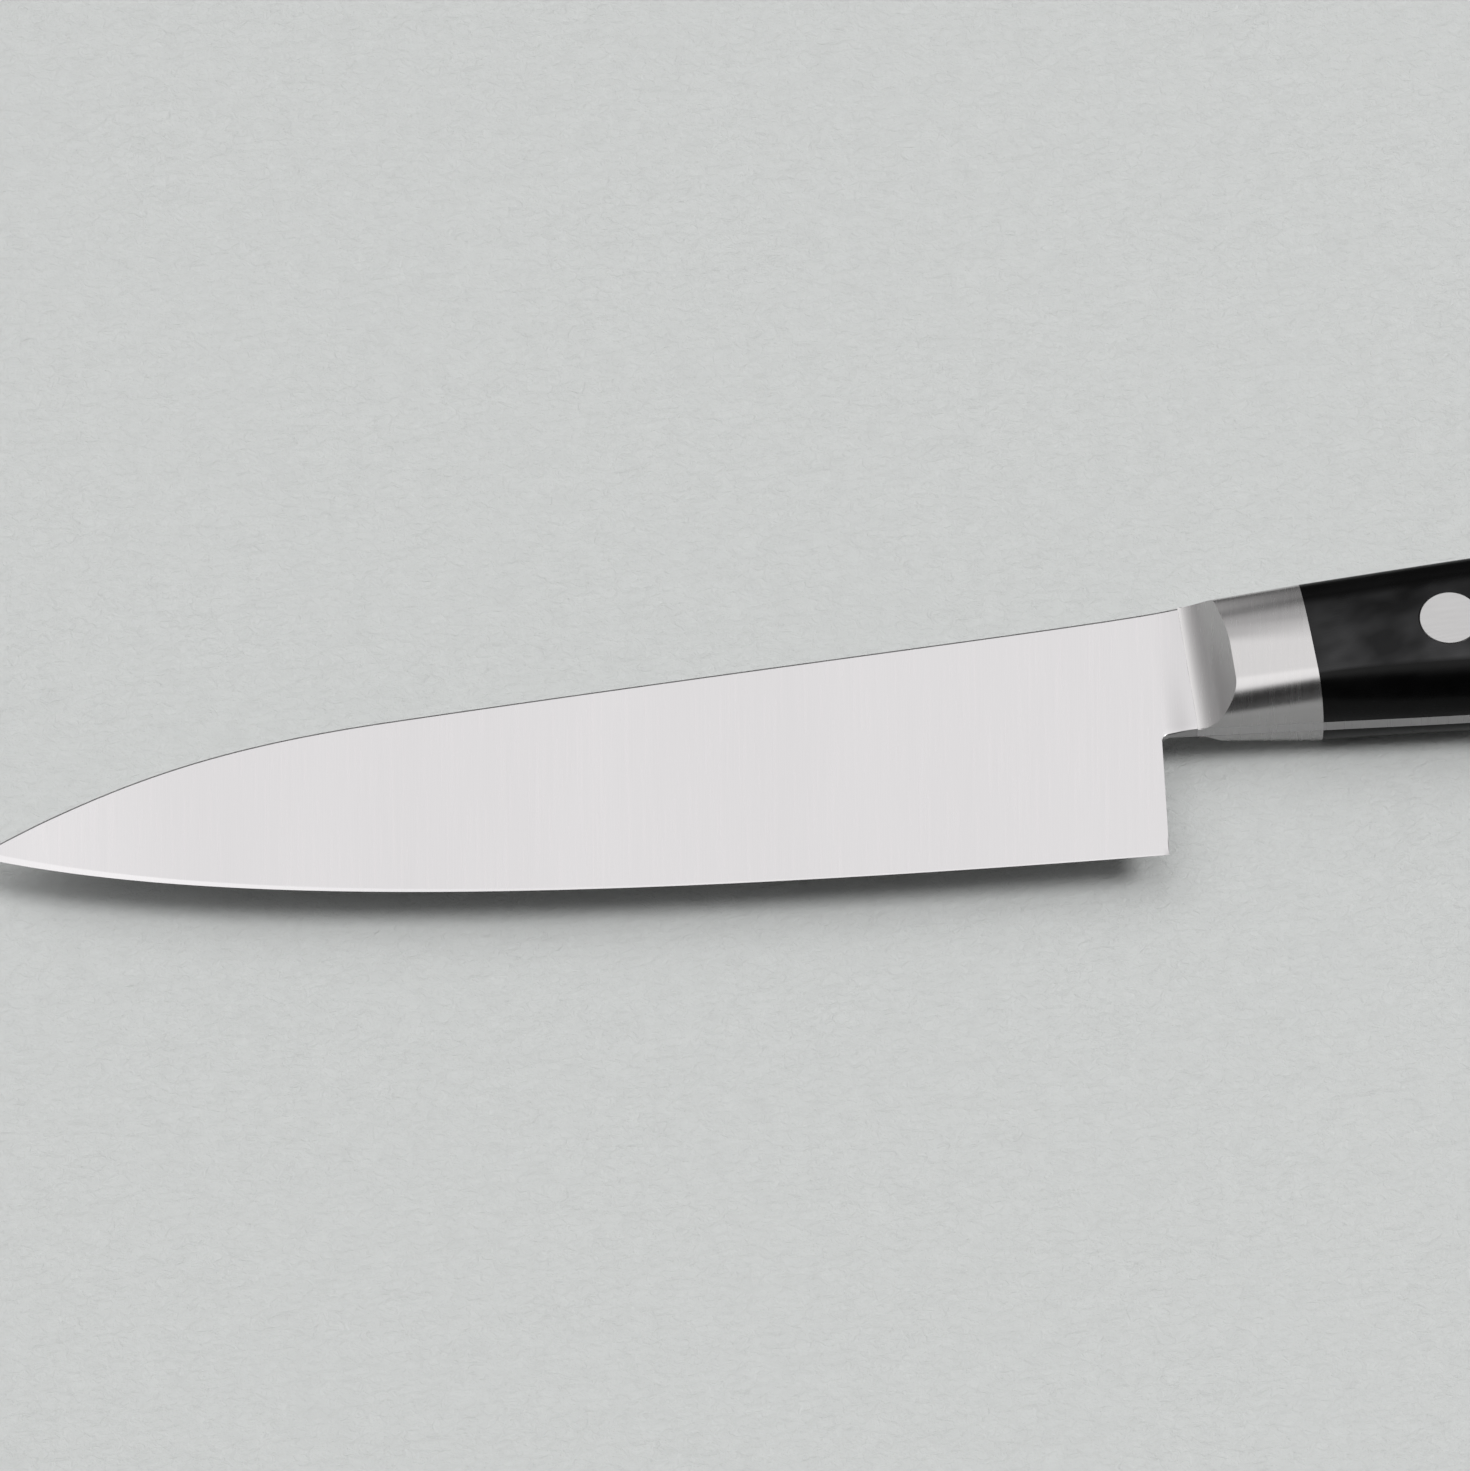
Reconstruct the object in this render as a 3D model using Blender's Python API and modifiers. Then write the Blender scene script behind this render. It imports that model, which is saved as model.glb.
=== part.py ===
# Petty knife: a thin ground blade with a full tang, a two-piece welded bolster,
# two handle scales and three cutler's rivets.
#
# Metres, +Z up. The knife lies on its side: tip to -X, butt to +X, edge to -Y, left face up.
# While it is modelled, x = 0 is the rear face of the bolster, y = 0 the line of the spine
# and z = 0 the middle of the steel. At the end the knife is set down on its right-hand scale.

from math import cos, pi, radians, sin, tan

import bmesh
import bpy
import numpy as np
from mathutils import Vector
from mathutils.geometry import interpolate_bezier

# Steel: one strip makes the blade and the tang
STEEL_THICKNESS = 0.0015
GRIND_RELIEF = 0.00003       # taken off each face of the blade, so the tang stands a hair prouder

# Blade, seen from the side
BLADE_REACH = 0.1182         # heel corner to tip
HEEL_TO_HANDLE = 0.0179      # heel corner to the rear face of the bolster
HEEL_DROP = 0.0283           # heel corner below the spine
HEEL_LEAN = radians(6.7)     # the heel leans back towards the handle
TIP_DROP = 0.0082            # tip below the spine
TIP_BLUNT = 0.00016          # height of the tip's end
EDGE_HEEL_ANGLE = radians(4.5)
EDGE_HEEL_PULL = 0.060
EDGE_TIP_ANGLE = radians(23.8)
EDGE_TIP_PULL = 0.0239
SPINE_CROWN = 0.0003         # rise of the spine before it drops to the tip
SPINE_DROP_LENGTH = 0.0435   # stretch in which the spine falls to the tip
SPINE_CROWN_PULL = 0.020
SPINE_RISE_PULL = 0.040
SPINE_NECK_ANGLE = radians(6)  # the spine dips a hair in front of the bolster
SPINE_NECK_PULL = 0.006
SPINE_TIP_ANGLE = radians(20.8)
SPINE_TIP_PULL = 0.0150
NECK_DROP = 0.0149           # underside of the neck, below the spine
CHOIL_RADIUS = 0.0012

# Blade, in section
TIP_THICKNESS = 0.0005       # spine at the tip
SPINE_CHAMFER = 0.00015
SHOULDER_THICKNESS = 0.00026  # where the edge bevel starts
EDGE_THICKNESS = 0.00004
BEVEL_AT_HEEL = 0.0004
BEVEL_AT_TIP = 0.0008
PLUNGE_LENGTH = 0.0035       # the grind runs out into full thickness over this stretch of neck

# Bolster
BOLSTER_LENGTH = 0.0126      # toe to rear face, at mid height
BOLSTER_FRONT_THICKNESS = 0.0080
BOLSTER_FRONT_ROUND = 0.0095  # width of its rounding along the spine, at the toe
FILLET_RADIUS = 0.0035       # concave front, as left by a grinding wheel
FILLET_SLOPE = radians(53)   # and straight from here up to the crest
FILLET_LEAN = radians(1.6)
TOE_LAND = 0.00012           # thickness left at the toe
TANG_COVER = 0.0012          # how far behind the toe the full-thickness tang starts

# Handle
HANDLE_LENGTH = 0.0975       # scales, bolster to butt
HANDLE_THICKNESS = 0.0116
GRIP_DROP = 0.0159           # belly below the spine, at the bolster
GRIP_SLOPE = radians(6.3)    # belly falls away from the bolster
CROWN_AT = 0.040
CROWN_RISE = 0.0003
SWELL_AT = 0.037
SWELL_DROP = 0.0189
WAIST_FROM_BUTT = 0.0335
WAIST_DROP = 0.0174
BEAK_FROM_BUTT = 0.0085
BEAK_DROP = 0.0207
SHOULDER_FROM_BUTT = 0.0120
SHOULDER_DROP = 0.0026
SHOULDER_SLOPE = radians(13)
BUTT_DROP = 0.0120           # rearmost point, below the spine
ROUND_BELLY = 0.0035         # width of the rounding along the belly
ROUND_SPINE = 0.0056         # and along the spine
SEAM = 0.00005               # glue and weld lines

# Rivets: a headed post driven into a headed socket
RIVET_FROM_BOLSTER = 0.0141
RIVET_FROM_BUTT = 0.0175
RIVET_COUNT = 3
RIVET_HEAD_DIAMETER = 0.0062
RIVET_HEAD_HEIGHT = 0.0012
SOCKET_DIAMETER = 0.0042
POST_DIAMETER = 0.0026
SOCKET_END_GAP = 0.0003      # socket's mouth to the post's head
POST_END_GAP = 0.0003        # post's end to the floor of the socket
RIVET_CLEARANCE = 0.00005

# Fineness of the curves
BLADE_STATIONS = 34
NECK_STATIONS = 8
ROUND_STEPS = 6
PATH_STEPS = 9
TURN_STEPS = 24
CUTTER_MARGIN = 0.006        # cutters run this far past what they cut

# Places that follow from the sizes
HEEL_X = -HEEL_TO_HANDLE
TIP_X = HEEL_X - BLADE_REACH
TANG_FRONT_X = -(BOLSTER_LENGTH - TANG_COVER)
ROOT_X = TANG_FRONT_X + TANG_COVER       # the blade ends here, inside the tang
SEAT_Z = STEEL_THICKNESS / 2 + SEAM      # inner faces of bolsters and scales
FLAT_Z = HANDLE_THICKNESS / 2            # outer faces of the scales

LEFT, RIGHT = 1, -1


def remove_everything():
    for thing in list(bpy.data.objects):
        bpy.data.objects.remove(thing, do_unlink=True)


def new_collection(name):
    collection = bpy.data.collections.new(name)
    bpy.context.scene.collection.children.link(collection)
    return collection


def new_material(name, colour, metallic, roughness):
    material = bpy.data.materials.new(name)
    material.use_nodes = True
    shader = material.node_tree.nodes["Principled BSDF"]
    shader.inputs["Base Color"].default_value = (*colour, 1.0)
    shader.inputs["Metallic"].default_value = metallic
    shader.inputs["Roughness"].default_value = roughness
    return material


def add_object(name, mesh, collection, root):
    thing = bpy.data.objects.new(name, mesh)
    collection.objects.link(thing)
    thing.parent = root
    return thing


def add_part(name, mesh, material, crease=radians(30)):
    mesh.materials.clear()
    mesh.materials.append(material)
    mesh.shade_smooth()
    mesh.set_sharp_from_angle(angle=crease)
    return add_object(name, mesh, parts, root)


def add_cutter(name, mesh):
    cutter = add_object(name, mesh, cutters, root)
    cutter.display_type = "WIRE"
    cutter.hide_render = True
    return cutter


def boolean(thing, other, operation):
    modifier = thing.modifiers.new(other.name, "BOOLEAN")
    modifier.operation = operation
    modifier.solver = "EXACT"
    modifier.object = other


def baked_mesh(thing, name):
    # the object's evaluated shape as a welded mesh; the object itself goes
    evaluated = thing.evaluated_get(bpy.context.evaluated_depsgraph_get())
    mesh = bpy.data.meshes.new_from_object(evaluated)
    mesh.name = name
    bpy.data.objects.remove(thing, do_unlink=True)
    shape = bmesh.new()
    shape.from_mesh(mesh)
    bmesh.ops.remove_doubles(shape, verts=shape.verts, dist=1e-7)
    bmesh.ops.recalc_face_normals(shape, faces=shape.faces)
    shape.to_mesh(mesh)
    shape.free()
    return mesh


def plate(name, loops, thickness):
    # a flat outline, with any further loops as holes in it
    curve = bpy.data.curves.new(name, "CURVE")
    curve.dimensions = "2D"
    curve.fill_mode = "BOTH"
    curve.extrude = thickness / 2
    for loop in loops:
        spline = curve.splines.new("POLY")
        spline.points.add(len(loop) - 1)
        spline.use_cyclic_u = True
        for point, place in zip(spline.points, loop):
            point.co = (place[0], place[1], 0.0, 1.0)
    return baked_mesh(add_object(name, curve, cutters, root), name)


def turned(name, profile):
    # a profile of (radius, height), down its outer side, turned about Z
    mesh = bpy.data.meshes.new(name)
    corners = [(radius, 0.0, height) for radius, height in profile]
    mesh.from_pydata(corners, [(i, i + 1) for i in range(len(corners) - 1)], [])
    thing = add_object(name, mesh, cutters, root)
    screw = thing.modifiers.new("turn", "SCREW")
    screw.axis = "Z"
    screw.steps = screw.render_steps = TURN_STEPS
    screw.use_merge_vertices = True
    screw.merge_threshold = 1e-6
    return baked_mesh(thing, name)


def loft(name, rings):
    # a closed body through rings of equally many points
    shape = bmesh.new()
    rows = [[shape.verts.new(point) for point in ring] for ring in rings]
    for row, following in zip(rows, rows[1:]):
        for i in range(len(row)):
            j = (i + 1) % len(row)
            shape.faces.new((row[i], row[j], following[j], following[i]))
    shape.faces.new(rows[0])
    shape.faces.new(rows[-1])
    bmesh.ops.recalc_face_normals(shape, faces=shape.faces)
    mesh = bpy.data.meshes.new(name)
    shape.to_mesh(mesh)
    shape.free()
    return mesh


def heading(angle):
    return Vector((cos(angle), sin(angle)))


def smooth_path(knots):
    # knots are (place, direction of travel, pull before it, pull after it)
    path = []
    for (start, way, _, pull), (end, next_way, next_pull, _) in zip(knots, knots[1:]):
        start, end = Vector(start), Vector(end)
        leave = start + pull * heading(way)
        arrive = end - next_pull * heading(next_way)
        path += interpolate_bezier(start, leave, arrive, end, PATH_STEPS + 1)[:-1]
    return path + [Vector(knots[-1][0])]


def level(curve):
    # height of a curve, that runs steadily in x, at any x
    places = sorted((point.x, point.y) for point in curve)
    xs, ys = zip(*places)
    return lambda x: float(np.interp(x, xs, ys))


def edge_line():
    heel = ((HEEL_X, -HEEL_DROP), pi - EDGE_HEEL_ANGLE, 0.0, EDGE_HEEL_PULL)
    tip = ((TIP_X, -TIP_DROP - TIP_BLUNT / 2), pi - EDGE_TIP_ANGLE, EDGE_TIP_PULL, 0.0)
    # past the heel the grind keeps the direction of the edge, up to where the notch is cut
    run_on = Vector((ROOT_X, -HEEL_DROP - (ROOT_X - HEEL_X) * tan(EDGE_HEEL_ANGLE)))
    return level(smooth_path([heel, tip]) + [run_on])


def spine_line():
    neck = ((ROOT_X, -GRIND_RELIEF), pi + SPINE_NECK_ANGLE, 0.0, SPINE_NECK_PULL)
    crown = ((TIP_X + SPINE_DROP_LENGTH, SPINE_CROWN), pi, SPINE_RISE_PULL, SPINE_CROWN_PULL)
    tip = ((TIP_X, -TIP_DROP + TIP_BLUNT / 2), pi + SPINE_TIP_ANGLE, SPINE_TIP_PULL, 0.0)
    return level(smooth_path([neck, crown, tip]))


def blade_stations():
    # close together at the tip, where the outline turns, and along the neck
    neck = list(np.linspace(ROOT_X, HEEL_X, NECK_STATIONS, endpoint=False))
    share = np.sin(np.linspace(0, pi / 2, BLADE_STATIONS))
    return neck + list(HEEL_X + (TIP_X - HEEL_X) * share)


def blade_section(x, spine, edge):
    # a wedge: chamfered spine, flat faces down to a shoulder, then the edge bevel
    height = spine - edge
    towards_tip = max(0.0, (HEEL_X - x) / BLADE_REACH)
    full = STEEL_THICKNESS - 2 * GRIND_RELIEF
    back = full + (TIP_THICKNESS - full) * towards_tip
    plunge = min(1.0, max(0.0, (x + BOLSTER_LENGTH + PLUNGE_LENGTH) / PLUNGE_LENGTH))
    plunge = plunge * plunge * (3 - 2 * plunge)
    shoulder = SHOULDER_THICKNESS + (full - SHOULDER_THICKNESS) * plunge
    bevel = BEVEL_AT_HEEL + (BEVEL_AT_TIP - BEVEL_AT_HEEL) * towards_tip
    bevel = min(bevel, 0.4 * height)
    chamfer = min(SPINE_CHAMFER, 0.2 * height)
    half = [
        (spine, back / 2 - chamfer),
        (spine - chamfer, back / 2),
        (edge + bevel, shoulder / 2),
        (edge, EDGE_THICKNESS / 2),
    ]
    return [(x, y, z) for y, z in half] + [(x, y, -z) for y, z in reversed(half)]


def choil_notch():
    # what is cut away under the neck, with a round corner between heel and neck
    under_neck = -(NECK_DROP - GRIND_RELIEF)
    corner = Vector((HEEL_X + (HEEL_DROP + under_neck) * tan(HEEL_LEAN), under_neck))
    down_heel = Vector((-sin(HEEL_LEAN), -cos(HEEL_LEAN)))
    reach = CHOIL_RADIUS / tan((pi / 2 - HEEL_LEAN) / 2)
    middle = corner + reach * down_heel + CHOIL_RADIUS * Vector((cos(HEEL_LEAN), -sin(HEEL_LEAN)))
    turn = np.linspace(pi - HEEL_LEAN, pi / 2, ROUND_STEPS + 1)
    rounding = [middle + CHOIL_RADIUS * heading(angle) for angle in turn]
    low = -HEEL_DROP - CUTTER_MARGIN
    foot = corner + (under_neck - low) / cos(HEEL_LEAN) * down_heel
    right = ROOT_X + CUTTER_MARGIN
    return [foot] + rounding + [Vector((right, under_neck)), Vector((right, low))]


def handle_outline(front):
    # along the spine, round the butt and back along the belly, from x = front
    knots = [
        ((front, 0.0), radians(0.8), 0.0, CROWN_AT / 3),
        ((CROWN_AT, CROWN_RISE), 0.0, CROWN_AT / 3, CROWN_AT / 3),
        ((HANDLE_LENGTH - SHOULDER_FROM_BUTT, -SHOULDER_DROP), -SHOULDER_SLOPE,
         SHOULDER_FROM_BUTT, SHOULDER_FROM_BUTT / 2),
        ((HANDLE_LENGTH, -BUTT_DROP), -pi / 2, BUTT_DROP / 2.6, BUTT_DROP / 2.6),
        ((HANDLE_LENGTH - BEAK_FROM_BUTT, -BEAK_DROP), pi, BEAK_FROM_BUTT / 2, BEAK_FROM_BUTT),
        ((HANDLE_LENGTH - WAIST_FROM_BUTT, -WAIST_DROP), pi, WAIST_FROM_BUTT / 4, WAIST_FROM_BUTT / 4),
        ((SWELL_AT, -SWELL_DROP), pi, SWELL_AT / 4, SWELL_AT / 3),
        ((front, -GRIP_DROP), pi - GRIP_SLOPE, SWELL_AT / 3, 0.0),
    ]
    return smooth_path(knots)


def inward(path):
    # the way in from each point of the outline; at its two ends, along the front face
    ways = [Vector((0.0, -1.0))]
    for before, after in zip(path, path[2:]):
        travel = (after - before).normalized()
        ways.append(Vector((travel.y, -travel.x)))
    return ways + [Vector((0.0, 1.0))]


def round_width(y):
    share = min(1.0, max(0.0, 1 + y / GRIP_DROP))
    return ROUND_BELLY + (ROUND_SPINE - ROUND_BELLY) * share


def quarter(steps):
    # an ellipse quarter as (share of width, share of height)
    return [(1 - cos(angle), sin(angle)) for angle in np.linspace(0, pi / 2, steps + 1)]


def scale_mesh(name, side):
    path = handle_outline(SEAM)
    ways = inward(path)
    rings = []
    for across, up in quarter(ROUND_STEPS):
        z = side * (SEAT_Z + (FLAT_Z - SEAT_Z) * up)
        rings.append([(*(point + way * round_width(point.y) * across), z)
                      for point, way in zip(path, ways)])
    return loft(name, rings)


def bolster_section(belly, top, round_spine, side):
    # half an oval as (y, z): up from the belly, over the flat, down to the spine
    rise = quarter(ROUND_STEPS)
    up_belly = [(belly + ROUND_BELLY * across, up) for across, up in rise]
    down_spine = [(-round_spine * across, up) for across, up in reversed(rise)]
    return [(y, side * (SEAT_Z + (top - SEAT_Z) * up)) for y, up in up_belly + down_spine]


def toe_x(y):
    # the toe leans with the heel
    return -BOLSTER_LENGTH + (y + NECK_DROP / 2) * tan(FILLET_LEAN)


def bolster_mesh(name, side):
    front = bolster_section(-NECK_DROP, BOLSTER_FRONT_THICKNESS / 2, BOLSTER_FRONT_ROUND, side)
    rear = bolster_section(-GRIP_DROP, FLAT_Z, ROUND_SPINE, side)
    return loft(name, [[(toe_x(y), y, z) for y, z in front], [(0.0, y, z) for y, z in rear]])


def front_cutter(name, side):
    # the wheel's path from the side: along the blade, up the fillet and straight off over the crest
    turn = np.linspace(0, FILLET_SLOPE, ROUND_STEPS + 1)
    fillet = [FILLET_RADIUS * Vector((sin(angle), 1 - cos(angle))) for angle in turn]
    above = FLAT_Z + CUTTER_MARGIN
    crest = fillet[-1] + (above - fillet[-1].y) / sin(FILLET_SLOPE) * heading(FILLET_SLOPE)
    path = [Vector((-CUTTER_MARGIN, 0.0))] + fillet + [crest, Vector((-CUTTER_MARGIN, above))]
    cutter = add_cutter(name, plate(name, [path], 2 * (NECK_DROP + CUTTER_MARGIN)))
    cutter.rotation_euler = (side * pi / 2, 0.0, -FILLET_LEAN)
    cutter.location = (-BOLSTER_LENGTH, -NECK_DROP / 2, side * (SEAT_Z + TOE_LAND))
    return cutter


def rivet_places():
    # on the middle line of the grip, evenly spaced
    path = handle_outline(0.0)
    rearmost = max(range(len(path)), key=lambda i: path[i].x)
    spine, belly = level(path[:rearmost + 1]), level(path[rearmost:])
    last = HANDLE_LENGTH - RIVET_FROM_BUTT
    return [Vector((x, (spine(x) + belly(x)) / 2))
            for x in np.linspace(RIVET_FROM_BOLSTER, last, RIVET_COUNT)]


def circle(middle, radius):
    return [middle + radius * heading(2 * pi * i / TURN_STEPS) for i in range(TURN_STEPS)]


def hole_mesh(name):
    # seat for a head, then the way through for the socket; turned over for the other scale
    head = RIVET_HEAD_DIAMETER / 2 + RIVET_CLEARANCE
    shank = SOCKET_DIAMETER / 2 + RIVET_CLEARANCE
    floor = FLAT_Z - RIVET_HEAD_HEIGHT - RIVET_CLEARANCE
    return turned(name, [(0.0, FLAT_Z + CUTTER_MARGIN), (head, FLAT_Z + CUTTER_MARGIN), (head, floor),
                         (shank, floor), (shank, 0.0), (0.0, 0.0)])


def post_mesh(name):
    head, shank = RIVET_HEAD_DIAMETER / 2, POST_DIAMETER / 2
    neck = FLAT_Z - RIVET_HEAD_HEIGHT
    end = -neck + POST_END_GAP
    return turned(name, [(0.0, FLAT_Z), (head, FLAT_Z), (head, neck), (shank, neck), (shank, end), (0.0, end)])


def socket_mesh(name):
    head, shank = RIVET_HEAD_DIAMETER / 2, SOCKET_DIAMETER / 2
    bore = POST_DIAMETER / 2 + RIVET_CLEARANCE
    neck = FLAT_Z - RIVET_HEAD_HEIGHT
    mouth = neck - SOCKET_END_GAP
    return turned(name, [(0.0, -neck), (bore, -neck), (bore, mouth), (shank, mouth), (shank, -neck),
                         (head, -neck), (head, -FLAT_Z), (0.0, -FLAT_Z)])


def make_blade(steel):
    spine, edge = spine_line(), edge_line()
    rings = [blade_section(x, spine(x), edge(x)) for x in blade_stations()]
    blade = add_part("blade", loft("blade", rings), steel)
    notch = add_cutter("choil_notch", plate("choil_notch", [choil_notch()], 4 * STEEL_THICKNESS))
    outline = [Vector((TANG_FRONT_X, 0.0))] + handle_outline(0.0) + [Vector((TANG_FRONT_X, -NECK_DROP))]
    hole = SOCKET_DIAMETER / 2 + RIVET_CLEARANCE
    holes = [circle(place, hole) for place in rivet_places()]
    tang = add_cutter("tang", plate("tang", [outline] + holes, STEEL_THICKNESS))
    boolean(blade, notch, "DIFFERENCE")
    boolean(blade, tang, "UNION")


def make_bolsters(steel):
    for word, side in (("left", LEFT), ("right", RIGHT)):
        half = add_part("bolster_" + word, bolster_mesh("bolster_" + word, side), steel)
        boolean(half, front_cutter("front_" + word, side), "DIFFERENCE")


def make_scales(wood):
    for word, side in (("left", LEFT), ("right", RIGHT)):
        scale = add_part("scale_" + word, scale_mesh("scale_" + word, side), wood)
        for number, place in enumerate(rivet_places(), 1):
            name = "hole_%s_%d" % (word, number)
            hole = add_cutter(name, hole_mesh(name))
            hole.location = (*place, 0.0)
            hole.rotation_euler.x = 0.0 if side == LEFT else pi
            boolean(scale, hole, "DIFFERENCE")


def make_rivets(steel):
    for number, place in enumerate(rivet_places(), 1):
        for word, mesh in (("post", post_mesh), ("socket", socket_mesh)):
            name = "rivet_%d_%s" % (number, word)
            add_part(name, mesh(name), steel).location = (*place, 0.0)


def set_down():
    # the origin goes under the middle of the knife, at the level that it lies on
    bpy.context.view_layer.update()
    depsgraph = bpy.context.evaluated_depsgraph_get()
    corners = []
    for part in parts.objects:
        shape = part.evaluated_get(depsgraph)
        corners += [shape.matrix_world @ Vector(corner) for corner in shape.bound_box]
    low = [min(corner[axis] for corner in corners) for axis in range(3)]
    high = [max(corner[axis] for corner in corners) for axis in range(3)]
    root.location = (-(low[0] + high[0]) / 2, -(low[1] + high[1]) / 2, -low[2])
    bpy.context.view_layer.update()


remove_everything()
parts = new_collection("petty_knife")
cutters = new_collection("cutters")
root = bpy.data.objects.new("petty_knife", None)
parts.objects.link(root)

make_blade(new_material("ground stainless steel", (0.74, 0.73, 0.73), 1.0, 0.28))
make_bolsters(new_material("polished stainless steel", (0.70, 0.69, 0.69), 1.0, 0.16))
make_scales(new_material("black laminated wood", (0.012, 0.012, 0.013), 0.0, 0.30))
make_rivets(new_material("rivet steel", (0.66, 0.65, 0.65), 1.0, 0.30))
set_down()
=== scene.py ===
from math import cos, pi, radians, sin, tan

import bmesh
import bpy
import numpy as np
from mathutils import Matrix, Vector
from mathutils.geometry import interpolate_bezier


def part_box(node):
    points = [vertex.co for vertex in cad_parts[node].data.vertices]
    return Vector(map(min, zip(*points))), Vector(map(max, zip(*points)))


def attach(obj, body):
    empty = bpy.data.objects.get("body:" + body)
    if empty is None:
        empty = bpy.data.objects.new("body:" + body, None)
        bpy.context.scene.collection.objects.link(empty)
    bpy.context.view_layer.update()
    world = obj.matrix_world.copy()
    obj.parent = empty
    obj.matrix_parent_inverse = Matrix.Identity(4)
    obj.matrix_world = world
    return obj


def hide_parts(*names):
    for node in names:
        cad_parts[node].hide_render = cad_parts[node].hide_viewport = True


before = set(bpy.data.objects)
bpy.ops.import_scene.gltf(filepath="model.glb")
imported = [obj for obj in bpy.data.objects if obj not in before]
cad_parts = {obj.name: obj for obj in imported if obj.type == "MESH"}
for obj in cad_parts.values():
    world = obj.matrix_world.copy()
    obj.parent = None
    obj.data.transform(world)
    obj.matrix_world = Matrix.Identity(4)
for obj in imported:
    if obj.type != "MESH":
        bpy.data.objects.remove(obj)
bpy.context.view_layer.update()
print("frame loaded:", ", ".join(sorted(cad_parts)))

mm = 0.001
crispAngle = radians(30)     # steeper edges stay sharp
touching = 1e-7              # metres; corners closer than this are one

# the knife's own zero: rear face of the bolster, line of the spine, middle of the steel
bladeLow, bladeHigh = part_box("blade")
_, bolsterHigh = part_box("bolster_left")
_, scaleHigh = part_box("scale_left")
zero = Vector((bolsterHigh.x, bolsterHigh.y, (bladeLow.z + bladeHigh.z) / 2))
tipX = (bladeLow.x - zero.x) / mm
buttX = (bladeHigh.x - zero.x) / mm
flatZ = (scaleHigh.z - zero.z) / mm        # outer faces of the handle
steelZ = (bladeHigh.z - zero.z) / mm       # faces of the tang


def place(x, y, z):
    return zero + Vector((x, y, z)) * mm


def heading(degrees):
    return Vector((cos(radians(degrees)), sin(radians(degrees))))


def flow(knots, steps):
    # a knot is its place, its heading, and the pull before it and after it
    path = []
    for (start, way, _, pull), (end, nextWay, nextPull, _) in zip(knots, knots[1:]):
        start, end = Vector(start), Vector(end)
        leave = start + pull * heading(way)
        arrive = end - nextPull * heading(nextWay)
        path += interpolate_bezier(start, leave, arrive, end, steps + 1)[:-1]
    return path + [Vector(knots[-1][0])]


def levelOf(path):
    xs, ys = zip(*sorted((point.x, point.y) for point in path))
    return lambda x: np.interp(x, xs, ys)


def smoothStep(x):
    x = np.clip(x, 0.0, 1.0)
    return x * x * (3 - 2 * x)


def addObject(name, data):
    thing = bpy.data.objects.new(name, data)
    bpy.context.scene.collection.objects.link(thing)
    return thing


def addPiece(name, shape, material, sharpRows=()):
    # a finished mesh object at the origin; the given runs of edges, and every steep one, stay crisp
    bmesh.ops.recalc_face_normals(shape, faces=shape.faces)
    for edge in shape.edges:
        steep = len(edge.link_faces) == 2 and edge.calc_face_angle(0.0) > crispAngle
        edge.smooth = not (steep or edge in sharpRows)
    for face in shape.faces:
        face.smooth = True
    mesh = bpy.data.meshes.new(name)
    shape.to_mesh(mesh)
    shape.free()
    mesh.materials.append(material)
    return addObject(name, mesh)


def seat(piece, slot, *nodes):
    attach(piece, "root")
    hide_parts(*nodes)
    print("made", piece.name, "for", ", ".join(nodes), "with", len(piece.data.polygons), "faces")


# what the materials share

def toLinear(hexColour):
    levels = [int(hexColour[i:i + 2], 16) / 255 for i in (1, 3, 5)]
    return [c / 12.92 if c <= 0.04045 else ((c + 0.055) / 1.055) ** 2.4 for c in levels] + [1.0]


def addNode(tree, kind, links=None, **settings):
    node = tree.nodes.new(kind)
    for name, value in settings.items():
        setattr(node, name, value)
    for socket, source in (links or {}).items():
        if isinstance(source, bpy.types.NodeSocket):
            tree.links.new(source, node.inputs[socket])
        else:
            node.inputs[socket].default_value = source
    return node


def newMaterial(name, **sockets):
    material = bpy.data.materials.new(name)
    material.use_nodes = True
    shader = material.node_tree.nodes["Principled BSDF"]
    for socket, value in sockets.items():
        shader.inputs[socket.replace("_", " ")].default_value = value
    return material, material.node_tree, shader


def sized(tree, sizes, turn=0.0):
    # object coordinates in units of a pattern's own size in millimetres, turned about the upright axis
    where = addNode(tree, "ShaderNodeTexCoord").outputs["Object"]
    return addNode(tree, "ShaderNodeMapping", {
        "Vector": where, "Rotation": (0, 0, radians(turn)), "Scale": [size * mm for size in sizes]},
        vector_type="TEXTURE").outputs[0]


def noise(tree, sizes, turn=0.0, **sockets):
    return addNode(tree, "ShaderNodeTexNoise", {
        "Vector": sized(tree, sizes, turn), "Scale": 1.0, **sockets}).outputs["Fac"]


def stretch(tree, value, low, high, toLow=0.0, toHigh=1.0):
    # one range of a value turned into another
    return addNode(tree, "ShaderNodeMapRange", {
        "Value": value, "From Min": low, "From Max": high, "To Min": toLow, "To Max": toHigh}).outputs[0]


def blend(tree, share, tones):
    first, second = tones
    return addNode(tree, "ShaderNodeMix", {
        "Factor": share, "A": toLinear(first), "B": toLinear(second)}, data_type="RGBA").outputs["Result"]


def times(tree, first, second):
    return addNode(tree, "ShaderNodeVectorMath", {0: first, 1: second}, operation="MULTIPLY").outputs[0]


def bumped(tree, height, strength, depth, **sockets):
    return addNode(tree, "ShaderNodeBump", {
        "Height": height, "Strength": strength, "Distance": depth * mm, **sockets}).outputs[0]


def axes(tree, coordinates):
    return addNode(tree, "ShaderNodeSeparateXYZ", {
        "Vector": addNode(tree, "ShaderNodeTexCoord").outputs[coordinates]}).outputs


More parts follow.
